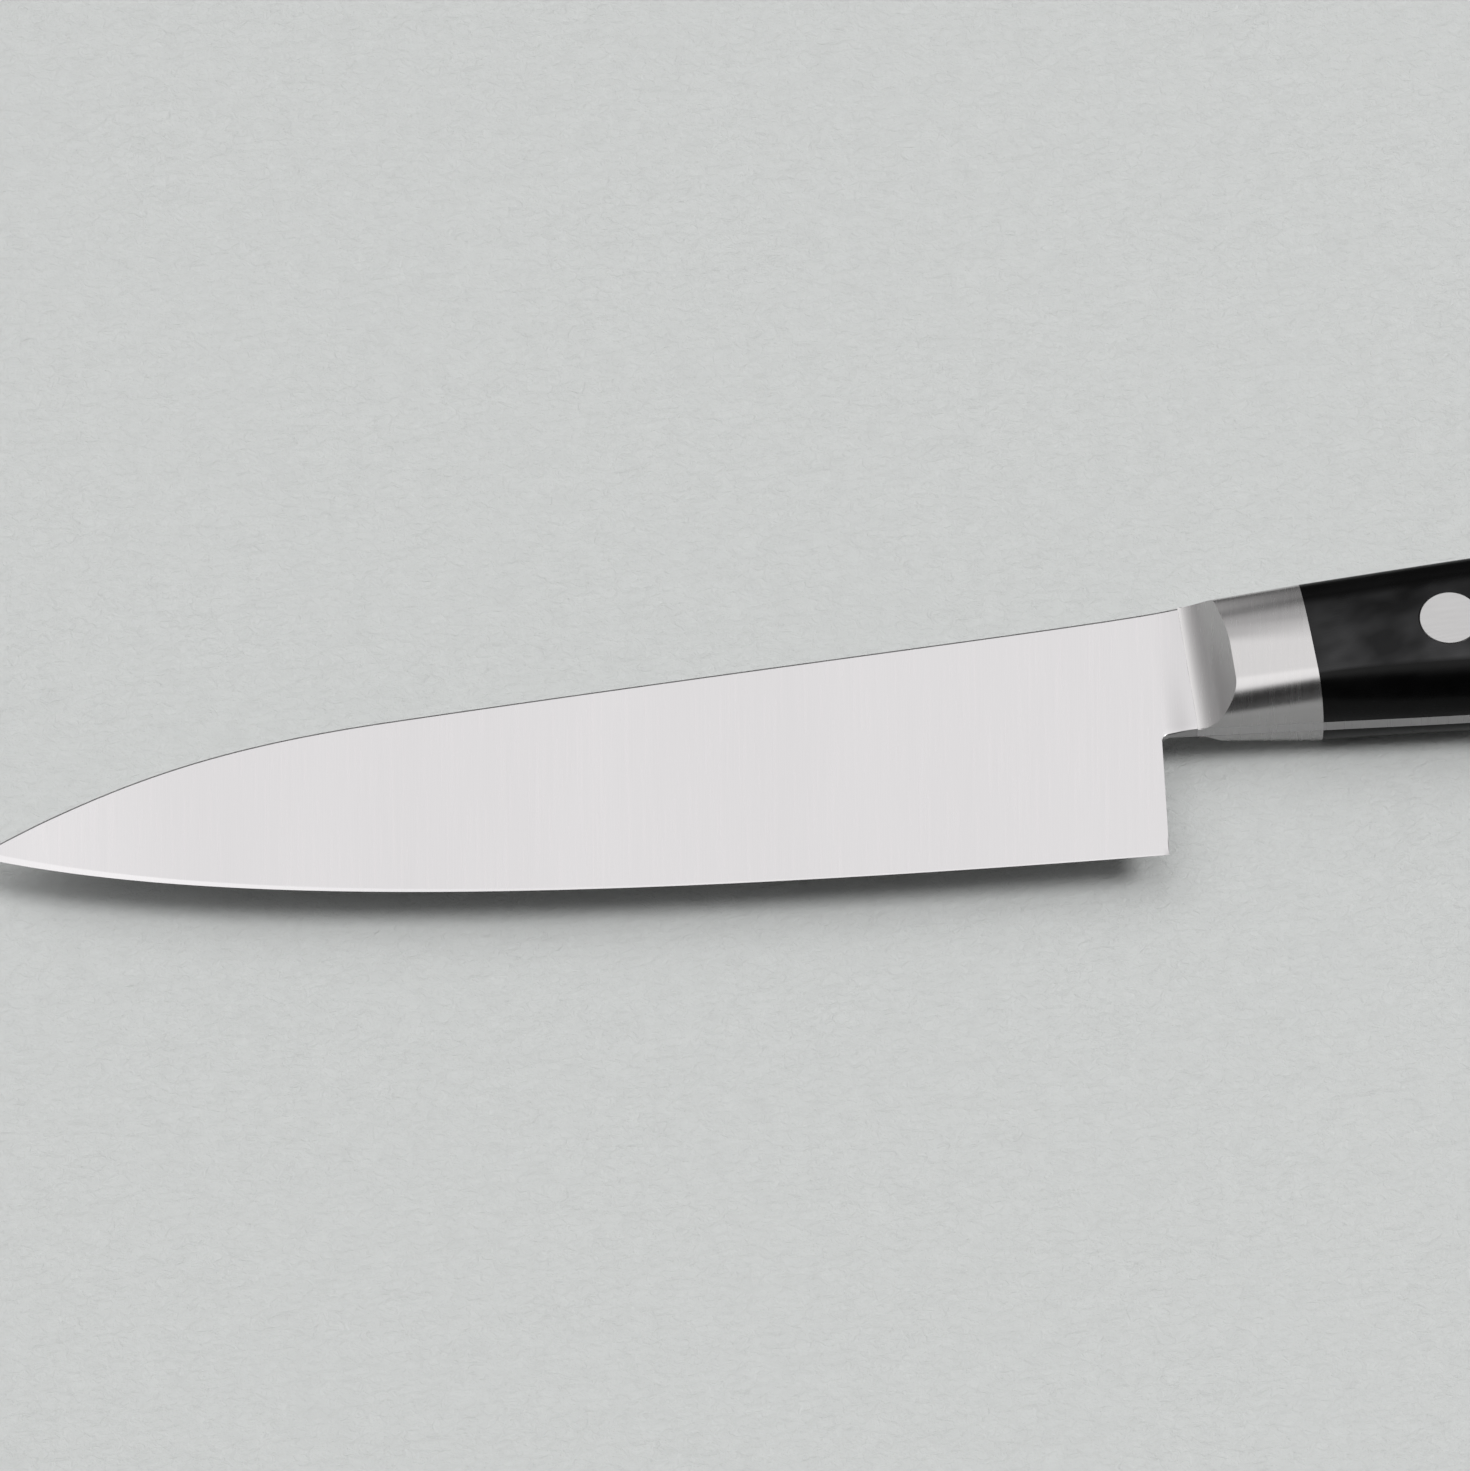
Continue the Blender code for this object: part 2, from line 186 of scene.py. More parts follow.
def paintedLightByTurn(tree, begin, full, share):
    # painted light and shade by how far a face turns away: 1 on the broad faces, going to a share of it on the
    # rims and sides; below 1 it is painted shade, above 1 a painted highlight
    up = addNode(tree, "ShaderNodeMath", {0: axes(tree, "Normal")["Z"]}, operation="ABSOLUTE")
    return stretch(tree, up.outputs[0], begin, full, share, 1.0)


def wire(tree, shader, **sources):
    for socket, source in sources.items():
        tree.links.new(source, shader.inputs[socket.replace("_", " ")])


grindTurn = -9.2      # degrees between the grinding lines and a square cut across the blade


# blade and tang, one piece of steel; lengths are millimetres and angles degrees

bladeValues = {
    "heelX": -17.9, "heelDrop": 28.3, "heelLean": 6.7,
    "tipDrop": 8.2, "tipBlunt": 0.16,
    "edgeHeelAngle": 4.5, "edgeHeelPull": 60.0, "edgeTipAngle": 23.8, "edgeTipPull": 23.9,
    "crownFromTip": 43.5, "crownRise": 0.3, "crownPullBack": 40.0, "crownPull": 20.0,
    "spineTipAngle": 20.8, "spineTipPull": 15.0, "spineNeckAngle": 6.0, "spineNeckPull": 6.0,
    "neckDrop": 14.5, "choilRadius": 0.9,
    "relief": 0.03, "tipSteel": 0.75, "tipThin": 0.15, "tipWedge": 0.12, "edge": 0.04,
    "bevelSlope": 8.0, "bevelAtHeel": 0.15, "bevelAtTip": 0.8, "bevelMost": 0.4, "plunge": 3.5,
    "chamferWidth": 0.2, "chamferDepth": 0.1, "tangBreak": 0.03, "recess": 0.15,
    "heelRound": 0.05, "neckRound": 0.22, "toeRound": 0.01, "roundSteps": 8,
    "columns": 200, "tangColumns": 130, "rows": 26, "rimRows": 6,
    "tones": ("#BDBBBC", "#C3C1C2"), "lineWidth": 0.16, "bandWidth": 22.0,
    # painted highlight on the bevel near the tip, and painted shade on it further back
    "bevelPaintedHighlight": 1.08, "highlightUntil": 18.0, "bevelPaintedShade": 0.93, "shadeFrom": 52.0,
    # painted shade on the rims of the steel, lighter between the halves of the bolster
    "rimPaintedShade": 0.639, "lessShadeInBolster": 0.174,
}


def groundStainless():
    # stainless blade steel, ground across the blade on a belt: a pale grey sheen with fine upright lines
    material, tree, shader = newMaterial("groundStainlessSteel", Metallic=1.0)
    look = bladeValues
    # belt lines are finer than this, but would not show
    lines = noise(tree, (look["lineWidth"], 12, 12), grindTurn, Detail=3.0, Roughness=0.6)
    bands = noise(tree, (look["bandWidth"], 150, 150), grindTurn, Detail=1.0)
    lined = times(tree, blend(tree, bands, look["tones"]), stretch(tree, lines, 0.35, 0.75, 0.975, 1.05))
    along = axes(tree, "Object")["X"]
    # the bevel gets a painted highlight towards the tip, brighter than the face only there, and painted shade
    # further back
    highlightEnd, shadeBegin = (zero.x + (tipX + look[name]) * mm for name in ("highlightUntil", "shadeFrom"))
    bevelLightFactor = stretch(tree, along, highlightEnd, shadeBegin, look["bevelPaintedHighlight"], look["bevelPaintedShade"])
    bevelPaintedLight = times(tree, lined, paintedLightByTurn(tree, 0.988, 0.998, bevelLightFactor))
    # painted shade darkens the rims of the steel; on the strip between the halves of the bolster there is less
    # of it, so that it matches them
    half = bolsterValues["length"] * mm / 2
    inBolster = addNode(tree, "ShaderNodeMath", {0: along, 1: zero.x - half, 2: half}, operation="COMPARE")
    rim = addNode(tree, "ShaderNodeMath", {
        0: inBolster.outputs[0], 1: look["lessShadeInBolster"], 2: look["rimPaintedShade"]}, operation="MULTIPLY_ADD")
    wire(tree, shader, Base_Color=times(tree, bevelPaintedLight, paintedLightByTurn(tree, 0.3, 0.7, rim.outputs[0])),
         Roughness=stretch(tree, lines, 0.3, 0.7, 0.26, 0.34), Normal=bumped(tree, lines, 0.10, 0.01))
    return material


def spineLine():
    b = bladeValues
    neck = ((-bolsterValues["length"], -b["relief"]), 180 + b["spineNeckAngle"], 0, b["spineNeckPull"])
    crown = ((tipX + b["crownFromTip"], b["crownRise"]), 180, b["crownPullBack"], b["crownPull"])
    tip = ((tipX, -b["tipDrop"] + b["tipBlunt"] / 2), 180 + b["spineTipAngle"], b["spineTipPull"], 0)
    return levelOf(flow([neck, crown, tip], 120))


def edgeLine():
    b = bladeValues
    heel = ((b["heelX"], -b["heelDrop"]), 180 - b["edgeHeelAngle"], 0, b["edgeHeelPull"])
    tip = ((tipX, -b["tipDrop"] - b["tipBlunt"] / 2), 180 - b["edgeTipAngle"], b["edgeTipPull"], 0)
    runOn = Vector((0.0, -b["heelDrop"] + b["heelX"] * tan(radians(b["edgeHeelAngle"]))))
    return levelOf(flow([heel, tip], 240) + [runOn])


def shareToTip(x):
    return np.clip((bladeValues["heelX"] - x) / (bladeValues["heelX"] - tipX), 0, 1)


def halfSteel(x, y):
    # half the thickness of the steel at any place seen from the side
    b = bladeValues
    full = 2 * (steelZ - b["relief"])
    top, low = spineAt(x), edgeAt(x)
    back = np.minimum(full + (b["tipSteel"] - full) * shareToTip(x),
                      b["tipThin"] + b["tipWedge"] * (top - low))
    runOut = smoothStep((x - wheelX(y)) / b["plunge"] + 1)
    bevel = bevelWidth(x)
    shoulder = b["edge"] + 2 * bevel * tan(radians(b["bevelSlope"]))
    shoulder = shoulder + (full - shoulder) * runOut
    above = y - low
    onBevel = b["edge"] + (shoulder - b["edge"]) * np.clip(above / bevel, 0, 1)
    onFace = shoulder + (back - shoulder) * np.clip((above - bevel) / (top - low - bevel), 0, 1)
    blade = np.where(above < bevel, onBevel, onFace) / 2
    return np.where(x > 0, steelZ, blade)


def bevelWidth(x):
    b = bladeValues
    width = b["bevelAtHeel"] + (b["bevelAtTip"] - b["bevelAtHeel"]) * shareToTip(x) ** 3
    return np.minimum(width, b["bevelMost"] * (spineAt(x) - edgeAt(x)))


def heelPath():
    # from the heel's corner up the heel, round the choil and along the neck to the bolster
    b = bladeValues
    lean = radians(b["heelLean"])
    corner = Vector((b["heelX"] + (b["heelDrop"] - b["neckDrop"]) * tan(lean), -b["neckDrop"]))
    reach = b["choilRadius"] / tan((pi / 2 + lean) / 2)
    down = Vector((-sin(lean), -cos(lean)))
    middle = corner + reach * down + b["choilRadius"] * Vector((cos(lean), -sin(lean)))
    heel = Vector((b["heelX"], -b["heelDrop"]))
    rise = [heel - down * step for step in np.linspace(b["bevelAtHeel"], (heel - corner).length - reach, 14)]
    turn = [middle + b["choilRadius"] * heading(angle)
            for angle in np.linspace(180 - b["heelLean"], 90, 17)[1:]]
    toe = Vector((wheelX(-bolsterValues["frontDrop"]), -bolsterValues["frontDrop"]))
    neck = [turn[-1].lerp(toe, share) for share in np.linspace(0, 1, 13)[1:]]
    steps = b["roundSteps"]
    softness = [b["heelRound"]] * len(rise) + [b["neckRound"]] * (len(turn) + len(neck))
    softness[len(rise):len(rise) + steps] = np.linspace(b["heelRound"], b["neckRound"], steps)
    softness[-steps:] = np.linspace(b["neckRound"], b["toeRound"], steps)
    return rise + turn + neck, softness


def steelColumns():
    # lines across the steel from the tip to the butt: upper end, lower end, width of the lower rim, kind
    b, length, frontDrop = bladeValues, bolsterValues["length"], bolsterValues["frontDrop"]
    columns = []
    for share in np.cos(np.linspace(0, pi / 2, b["columns"])):
        x = b["heelX"] + (tipX - b["heelX"]) * share
        columns.append(((x, spineAt(x)), (x, edgeAt(x)), float(bevelWidth(x)), "edge"))
    lower, softness = heelPath()
    upper = np.linspace(b["heelX"], wheelX(0), len(lower) + 1)[1:]
    columns += [((x, spineAt(x)), end, soft, "neck") for x, end, soft in zip(upper, lower, softness)]
    toeShare = 0.02
    for share in [toeShare, *np.linspace(0.05, 1, 20)]:     # between the bolster halves
        top, low = wheelX(0) * (1 - share), wheelX(-frontDrop) * (1 - share)
        belly = frontDrop + (gripValues["drop"] - frontDrop) * np.clip(1 + low / length, 0, 1)
        columns.append(((top, 0.0), (low, -belly), b["toeRound"], "bolster" if share > toeShare else "toe"))
    for share in np.sin(np.linspace(0, pi / 2, b["tangColumns"])):
        x = min(max(buttX * share, 0.01), buttX - 0.002)     # the butt ends in a narrow face, not in a line
        columns.append(((x, gripSpineAt(x)), (x, gripBellyAt(x)), b["tangBreak"], "tang"))
    return columns


def steelColumn(top, low, rim, kind):
    # places and half thickness down one line
    b = bladeValues
    top, low = Vector(top), Vector(low)
    length = max((low - top).length, 0.02)
    chamfer = b["chamferWidth"] if kind in ("edge", "neck") else rim
    chamfer, rim = min(chamfer, 0.2 * length), min(rim, 0.4 * length)     # both give way at the tip
    rimSteps = np.linspace(0, 1, b["rimRows"] + 1)[1:]
    shares = np.concatenate([
        [0], np.linspace(chamfer, length - rim, b["rows"]), length - rim + rim * rimSteps])
    shares[1:] /= length
    xs, ys = top.x + (low.x - top.x) * shares, top.y + (low.y - top.y) * shares
    half = halfSteel(xs, ys)
    if kind in ("edge", "neck"):
        half[0] -= min(b["chamferDepth"], half[0] * 0.5)
    if kind == "neck":
        half[-b["rimRows"]:] -= np.minimum(rim, half[-1] * 0.7) * (1 - np.sqrt(1 - rimSteps ** 2 * 0.999))
    if kind == "bolster":
        half[1:-1] -= b["recess"]
    if kind == "tang":
        half[0] -= rim
        half[-1] -= rim
    return xs, ys, half


def makeBlade(material):
    b = bladeValues
    last = b["rows"] + b["rimRows"]
    creases = {"edge": (0, 1, b["rows"], last), "neck": (0, 1), "toe": (0, last), "bolster": (0, last),
               "tang": (0, 1, last - 1, last)}
    shape = bmesh.new()
    grid, kinds = [], []
    for column in steelColumns():
        points = list(zip(*steelColumn(*column)))
        grid.append([[shape.verts.new(place(x, y, side * z)) for x, y, z in points] for side in (1, -1)])
        kinds.append(column[-1])
    crisp = set()
    for (left, right), (nextLeft, nextRight), kind in zip(grid, grid[1:], kinds[1:]):
        for i in range(last):
            shape.faces.new((left[i], left[i + 1], nextLeft[i + 1], nextLeft[i]))
            shape.faces.new((right[i + 1], right[i], nextRight[i], nextRight[i + 1]))
        for i in (0, last):
            shape.faces.new((left[i], right[i], nextRight[i], nextLeft[i]))
        for row, nextRow in ((left, nextLeft), (right, nextRight)):
            crisp.update(shape.edges.get((row[i], nextRow[i])) for i in creases[kind])
    for left, right in (grid[0], grid[-1]):
        shape.faces.new(left + right[::-1])
    return addPiece("bladeAndTang", shape, material, crisp)


# bolster halves

bolsterValues = {
    "length": 12.6, "frontHalf": 4.0, "frontRound": 6.8, "frontRoll": 0.78, "frontDrop": 14.5,
    "hollow": 2.0, "slope": 53.0, "lean": 1.6, "wheelAhead": -0.23, "toeLip": 0.003,
    "aroundSteps": 96, "frontSteps": 26, "sideSteps": 14,
    # the last value is painted shade on the rounds and rims of the bolster
    "tones": ("#BDBBBB", "#C7C5C5"), "lineWidth": 0.3, "rimPaintedShade": 0.7,
}


def satinStainless():
    # the bolster's stainless, finished finer than the blade: smooth satin with short lines from spine to belly
    material, tree, shader = newMaterial("satinStainlessSteel", Metallic=1.0)
    look = bolsterValues
    lines = noise(tree, (look["lineWidth"], 5, 5), grindTurn, Detail=3.0, Roughness=0.6)
    # painted shade darkens the rounds and rims of the bolster
    tone = times(tree, blend(tree, lines, look["tones"]), paintedLightByTurn(tree, 0.3, 0.7, look["rimPaintedShade"]))
    wire(tree, shader, Base_Color=tone, Roughness=stretch(tree, lines, 0.3, 0.7, 0.25, 0.28),
         Normal=bumped(tree, lines, 0.12, 0.01))
    return material


def oval(steps):
    # a quarter of an oval, as shares of its width and its height
    return np.array([(1 - cos(angle), sin(angle)) for angle in np.linspace(0, pi / 2, steps + 1)])


def spineRound(steps, roll):
    # the spine side: a leaning top, a soft corner, and a roll that dies away slowly on the side
    top = [((0, 0), 80, 0, 0.2), ((0.155, 0.655), 74, 0.2, 0.04)]
    corner = [((0.205, 0.735), 46, 0.03, 0.06), ((0.63 * roll, 0.93 - 0.1 * roll), 33, 0.06, 0.09)]
    fading = [((roll, 0.958), 16, 0.09, 0.1), ((1, 1), 0, 0.1, 0)]
    path = flow(top + corner + fading, 40)
    lengths = np.cumsum([0] + [(after - before).length for before, after in zip(path, path[1:])])
    at = np.linspace(0, lengths[-1], steps + 1)
    return np.array([np.interp(at, lengths, [point[i] for point in path]) for i in (0, 1)]).T


def bolsterSection(belly, top, roundSpine, roll):
    # half an oval: up from the belly, over the flat, down to the spine
    steps = bolsterValues["aroundSteps"] // 3
    upBelly = [(belly + gripValues["roundBelly"] * across, up) for across, up in oval(steps)]
    downSpine = [(-roundSpine * across, up) for across, up in reversed(spineRound(2 * steps, roll))]
    flat = [(y, 1.0) for y in np.linspace(upBelly[-1][0], downSpine[0][0], steps // 2 + 1)[1:-1]]
    seatZ = steelZ - bladeValues["relief"]
    return np.array([(y, seatZ + (top - seatZ) * up) for y, up in upBelly + flat + downSpine])


def toeX(y):
    return -bolsterValues["length"] + (y + bladeValues["neckDrop"] / 2) * tan(radians(bolsterValues["lean"]))


def wheelX(y):
    return toeX(y) - bolsterValues["wheelAhead"]


def hollowCurve():
    # from the toe the bend eases off evenly until it is straight
    s = bolsterValues
    slope = radians(s["slope"])
    way = np.linspace(0, 1, 400)
    angles = slope * (2 * way - way ** 2)
    step = 2 * slope * s["hollow"] / (len(way) - 1)
    middles = (angles[1:] + angles[:-1]) / 2
    return [np.concatenate([[0], np.cumsum(turn(middles) * step)]) for turn in (np.cos, np.sin)]


def wheelHeight(behindToe):
    # the hollow that the wheel leaves: tangent to the blade, then straight up to the crest
    straight = np.maximum(behindToe - hollowBack[-1], 0) * tan(radians(bolsterValues["slope"]))
    bottom = steelZ - bladeValues["relief"] + bolsterValues["toeLip"]
    return bottom + np.interp(behindToe, hollowBack, hollowUp) + straight


def makeBolster(name, side, material):
    s = bolsterValues
    front = bolsterSection(-s["frontDrop"], s["frontHalf"], s["frontRound"], s["frontRoll"])
    rear = bolsterSection(-gripValues["drop"], flatZ, gripValues["roundSpine"], gripValues["roll"])

    def sidePoint(share):
        yz = front + (rear - front) * share[:, None]
        return toeX(front[:, 0]) * (1 - share), yz[:, 0], yz[:, 1]

    def aboveWheel(share):
        x, y, z = sidePoint(share)
        return z - wheelHeight((x - wheelX(y)) * cos(radians(s["lean"])))

    low, high = np.clip(1 - wheelX(front[:, 0]) / toeX(front[:, 0]), 0, 1), np.ones(len(front))
    for _ in range(40):     # the crest, where the side runs into the hollow front
        middle = (low + high) / 2
        outside = aboveWheel(middle) > 0
        low, high = np.where(outside, middle, low), np.where(outside, high, middle)
    crest = (low + high) / 2
    crestX, crestY, _ = sidePoint(crest)
    rings = []
    for share in np.linspace(0, 1, s["frontSteps"], endpoint=False):
        x = wheelX(crestY) + (crestX - wheelX(crestY)) * share
        rings.append((x, crestY, wheelHeight((x - wheelX(crestY)) * cos(radians(s["lean"])))))
    for share in np.linspace(0, 1, s["sideSteps"] + 1):
        rings.append(sidePoint(crest + (1 - crest) * share))
    shape = bmesh.new()
    rows = []
    for ring in rings:     # the front rings meet at both ends of the crest
        spots = [place(x, y, side * z) for x, y, z in zip(*ring)]
        before = rows[-1] if rows else [None] * len(spots)
        rows.append([old if old and (old.co - spot).length < touching else shape.verts.new(spot)
                     for old, spot in zip(before, spots)])
    for row, following in zip(rows, rows[1:]):
        for i in range(len(row) - 1):
            corners = dict.fromkeys((row[i], row[i + 1], following[i + 1], following[i]))
            if len(corners) > 2:
                shape.faces.new(corners)
    ridge = {shape.edges.get(pair) for pair in zip(rows[s["frontSteps"]], rows[s["frontSteps"]][1:])}
    shape.faces.new(rows[-1])
    under = [row[0] for row in rows] + [row[-1] for row in reversed(rows)] + rows[0][-2:0:-1]
    shape.faces.new(dict.fromkeys(under))
    return addPiece(name, shape, material, ridge)


# handle scales

gripValues = {
    "drop": 15.9, "slope": 6.3, "crownAt": 40.0, "crownRise": 0.3,
    "swellAt": 37.0, "swellDrop": 18.9, "waistFromButt": 33.5, "waistDrop": 17.4,
    "beakFromButt": 8.5, "beakDrop": 20.7, "shoulderFromButt": 12.0, "shoulderDrop": 2.6,
    "shoulderSlope": 13.0, "buttDrop": 12.0,
    "roundBelly": 3.5, "roundMiddle": 5.4, "fullWithin": 9.0, "fullEnds": 15.0, "fullFade": 30.0,
    "roundSpine": 9.0, "roll": 0.67, "roundButt": 4.5, "buttEnds": 4.0, "buttFade": 40.0,
    "seam": 0.02, "pathSteps": 30, "roundSteps": 24, "flatStep": 0.15,
    # painted shade: the wood darker towards the spine, and black on the rounds
    "tones": ("#131314", "#3B3B3C"), "spineShadeStart": 12.0, "spineShadeFull": 3.0,
    "spineShadeTone": 0.25, "roundPaintedShade": 0.05,
}


def blackLaminate():
    # beech veneers soaked in black resin and pressed: satin, with painted shade that turns it black where it is
    # rounded and darker towards the spine, and with soft hazy patches along the grain on the flats
    material, tree, shader = newMaterial("blackLaminatedWood", IOR=1.34, Specular_IOR_Level=0.21)
    look = gripValues
    clouds = noise(tree, (6, 4, 4), 20, Detail=2.0)
    grain = noise(tree, (8, 0.35, 0.35), Detail=4.0)
    tone = blend(tree, stretch(tree, clouds, 0.33, 0.67), look["tones"])
    # painted shade: darker towards the spine
    shadeStart, shadeFull = (zero.y - look[name] * mm for name in ("spineShadeStart", "spineShadeFull"))
    spineShaded = times(tree, tone, stretch(tree, axes(tree, "Object")["Y"], shadeStart, shadeFull, 1.0, look["spineShadeTone"]))
    rough = addNode(tree, "ShaderNodeMath", {
        0: grain, 1: 0.08, 2: stretch(tree, clouds, 0.3, 0.7, 0.17, 0.27)}, operation="MULTIPLY_ADD")
    waves = bumped(tree, clouds, 1.0, 0.08)
    # painted shade makes the rounds and rims black
    wire(tree, shader, Base_Color=times(tree, spineShaded, paintedLightByTurn(tree, 0.955, 0.982, look["roundPaintedShade"])),
         Roughness=rough.outputs[0], Normal=bumped(tree, grain, 0.15, 0.02, Normal=waves))
    return material


def gripOutline(front):
    g = gripValues
    third, butt = g["crownAt"] / 3, g["buttDrop"] / 2.6
    return flow([
        ((front, 0), 0.8, 0, third),
        ((g["crownAt"], g["crownRise"]), 0, third, third),
        ((buttX - g["shoulderFromButt"], -g["shoulderDrop"]), -g["shoulderSlope"],
         g["shoulderFromButt"], g["shoulderFromButt"] / 2),
        ((buttX, -g["buttDrop"]), -90, butt, butt),
        ((buttX - g["beakFromButt"], -g["beakDrop"]), 180, g["beakFromButt"] / 2, g["beakFromButt"]),
        ((buttX - g["waistFromButt"], -g["waistDrop"]), 180, g["waistFromButt"] / 4, g["waistFromButt"] / 4),
        ((g["swellAt"], -g["swellDrop"]), 180, g["swellAt"] / 4, g["swellAt"] / 3),
        ((front, -g["drop"]), 180 - g["slope"], g["swellAt"] / 3, 0),
    ], g["pathSteps"])


def gripLevels():
    path = gripOutline(0.0)
    rearmost = max(range(len(path)), key=lambda i: path[i].x)
    return levelOf(path[:rearmost + 1]), levelOf(path[rearmost:])


def inward(path):
    ways = [Vector((0, -1))]
    for before, after in zip(path, path[2:]):
        travel = (after - before).normalized()
        ways.append(Vector((travel.y, -travel.x)))
    return ways + [Vector((0, 1))]


def scaleRings(path, ways):
    # rings from the steel up to the flat; the rounding changes from the spine's to the belly's over the butt
    g = gripValues
    rounds = (oval(g["roundSteps"]), spineRound(g["roundSteps"], g["roll"]))
    rings = [[] for _ in range(g["roundSteps"] + 2)]
    for point, way in zip(path, ways):
        share = float(smoothStep(1 + point.y / g["buttDrop"]))
        broad = float(smoothStep((buttX - g["buttEnds"] - point.x) / g["buttFade"]))
        spineWidth = g["roundButt"] + (g["roundSpine"] - g["roundButt"]) * broad
        fuller = 1 - np.exp(-point.x / g["fullWithin"])
        fuller *= float(smoothStep((buttX - g["fullEnds"] - point.x) / g["fullFade"]))
        bellyWidth = g["roundBelly"] + (g["roundMiddle"] - g["roundBelly"]) * fuller
        width = bellyWidth + (spineWidth - bellyWidth) * share
        for ring, (across, up) in zip(rings, rounds[0] + (rounds[1] - rounds[0]) * share):
            ring.append((*(point + way * width * across), steelZ + (flatZ - steelZ) * up))
        rings[-1].append((*(point + way * (width + g["flatStep"])), flatZ))
    return rings


def makeScale(name, side, material):
    path = gripOutline(gripValues["seam"])
    shape = bmesh.new()
    rows = [[shape.verts.new(place(x, y, side * z)) for x, y, z in ring]
            for ring in scaleRings(path, inward(path))]
    for row, following in zip(rows, rows[1:]):
        for i in range(len(row) - 1):
            shape.faces.new((row[i], row[i + 1], following[i + 1], following[i]))
    for face in (rows[0], rows[-1], [row[-1] for row in rows] + [row[0] for row in reversed(rows)]):
        shape.faces.new(face)
    return addPiece(name, shape, material)


# rivets

rivetValues = {
    "fromBolster": 14.1, "fromButt": 17.5, "lower": 0.25, "count": 3,
    "head": 6.2, "headHeight": 1.2, "socket": 4.2, "post": 2.6, "endGap": 0.3, "gap": 0.04,
    "edgeRound": 0.12, "turnSteps": 64,
    "tones": ("#AEADAD", "#B6B5B5"), "lineWidth": 0.2,
}


def rivetSteel():
    # stainless rivets, ground flush with the wood: dull grey with short lines
    material, tree, shader = newMaterial("rivetStainlessSteel", Metallic=1.0)
    lines = noise(tree, (4, rivetValues["lineWidth"], 4), Detail=3.0)
    wire(tree, shader, Base_Color=blend(tree, lines, rivetValues["tones"]),
         Roughness=stretch(tree, lines, 0.3, 0.7, 0.28, 0.38))
    return material


def rivetPlaces():
    xs = np.linspace(rivetValues["fromBolster"], buttX - rivetValues["fromButt"], rivetValues["count"])
    return [(x, (gripSpineAt(x) + gripBellyAt(x)) / 2 - rivetValues["lower"]) for x in xs]


def turned(name, profile):
    # a profile of radius and height in millimetres, turned about the upright axis
    shape = bmesh.new()
    corners = [shape.verts.new((radius * mm, 0, height * mm)) for radius, height in profile]
    line = [shape.edges.new(pair) for pair in zip(corners, corners[1:])]
    bmesh.ops.spin(shape, geom=corners + line, axis=(0, 0, 1), cent=(0, 0, 0), angle=2 * pi,
                   steps=rivetValues["turnSteps"], use_merge=True)
    bmesh.ops.remove_doubles(shape, verts=shape.verts, dist=touching)
    bmesh.ops.recalc_face_normals(shape, faces=shape.faces)
    mesh = bpy.data.meshes.new(name)
    shape.to_mesh(mesh)
    shape.free()
    mesh.shade_smooth()
    mesh.set_sharp_from_angle(angle=crispAngle)
    return addObject(name, mesh)


def turnedPost():
    r = rivetValues
    head, shank, edge = r["head"] / 2, r["post"] / 2, r["edgeRound"]
    neck = flatZ - r["headHeight"]
    end = -neck + r["endGap"]
    return turned("turnedPost", [(0, flatZ), (head - edge, flatZ), (head, flatZ - edge), (head, neck),
                                 (shank, neck), (shank, end + edge), (shank - edge, end), (0, end)])


def turnedSocket():
    r = rivetValues
    head, shank, edge = r["head"] / 2, r["socket"] / 2, r["edgeRound"]
    bore = r["post"] / 2 + r["gap"]
    neck = flatZ - r["headHeight"]
    mouth = neck - r["endGap"]
    return turned("turnedSocket", [(0, -neck), (bore, -neck), (bore, mouth), (shank, mouth), (shank, -neck),
                                   (head, -neck), (head, -flatZ + edge), (head - edge, -flatZ), (0, -flatZ)])


def rivetRowTree():
    # sets a turned piece at even steps along a line
    tree = bpy.data.node_groups.new("rivetRow", "GeometryNodeTree")
    tree.interface.new_socket("Line", in_out="INPUT", socket_type="NodeSocketGeometry")
    sockets = {name: tree.interface.new_socket(name, in_out="INPUT", socket_type=kind) for name, kind in (
        ("Count", "NodeSocketInt"), ("Post", "NodeSocketObject"), ("Socket", "NodeSocketObject"),
        ("Steel", "NodeSocketMaterial"))}
    tree.interface.new_socket("Rivets", in_out="OUTPUT", socket_type="NodeSocketGeometry")
    given = addNode(tree, "NodeGroupInput").outputs
    curve = addNode(tree, "GeometryNodeMeshToCurve", {"Mesh": given["Line"]})
    spaced = addNode(tree, "GeometryNodeResampleCurve", {"Curve": curve.outputs[0], "Count": given["Count"]})
    joined = addNode(tree, "GeometryNodeJoinGeometry")
    for name in ("Post", "Socket"):
        piece = addNode(tree, "GeometryNodeObjectInfo", {"Object": given[name]})
        row = addNode(tree, "GeometryNodeInstanceOnPoints", {
            "Points": spaced.outputs[0], "Instance": piece.outputs["Geometry"]})
        tree.links.new(row.outputs[0], joined.inputs[0])
    solid = addNode(tree, "GeometryNodeRealizeInstances", {"Geometry": joined.outputs[0]})
    dressed = addNode(tree, "GeometryNodeSetMaterial", {
        "Geometry": solid.outputs[0], "Material": given["Steel"]})
    addNode(tree, "NodeGroupOutput", {"Rivets": dressed.outputs[0]})
    return tree, {name: socket.identifier for name, socket in sockets.items()}


